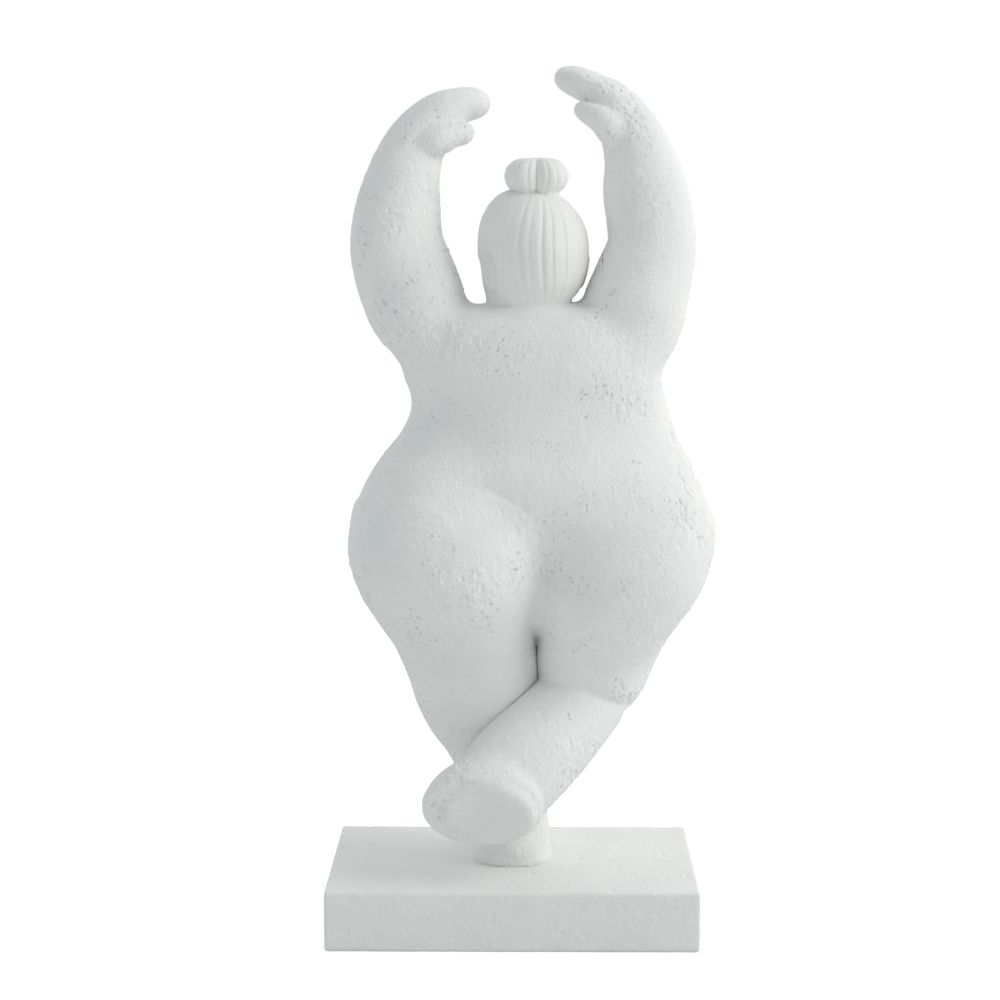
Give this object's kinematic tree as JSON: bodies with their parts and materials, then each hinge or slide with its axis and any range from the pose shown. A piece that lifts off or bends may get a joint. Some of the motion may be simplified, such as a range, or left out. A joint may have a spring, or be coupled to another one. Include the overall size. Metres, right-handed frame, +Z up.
{
  "type": "porcelain figurine",
  "caption": "White unglazed porcelain figurine of a full-figured dancer balancing on one foot on a rectangular plinth, arms raised in a ring over a bun of hair.",
  "frame": {"origin": "middle of the underside that the figurine stands on, z = 0 on the table", "axes": "+Z up, +Y the way the figure faces, +X towards the figure's right hand"},
  "size_m": [0.1688, 0.1154, 0.3744],
  "materials": {
    "bisque": "unglazed, matte, brushed and slightly pitted",
    "bisque_plinth": "unglazed, matte, slightly pitted",
    "felt": "pressed felt",
    "steel": "plain zinc-plated",
    "plaster": "poured plaster, rough"
  },
  "bodies": {
    "root": {"plinth": "bisque_plinth", "base_felt": "felt", "support_rod": "steel", "rod_washer": "steel", "rod_nut": "steel", "leg_core": "plaster", "torso": "bisque", "head": "bisque", "hair_bun": "bisque", "left_arm": "bisque", "right_arm": "bisque", "left_hand": "bisque", "right_hand": "bisque", "standing_leg": "bisque", "standing_foot": "bisque", "crossed_thigh": "bisque", "crossed_calf": "bisque", "crossed_foot": "bisque"}
  },
  "joints": []
}
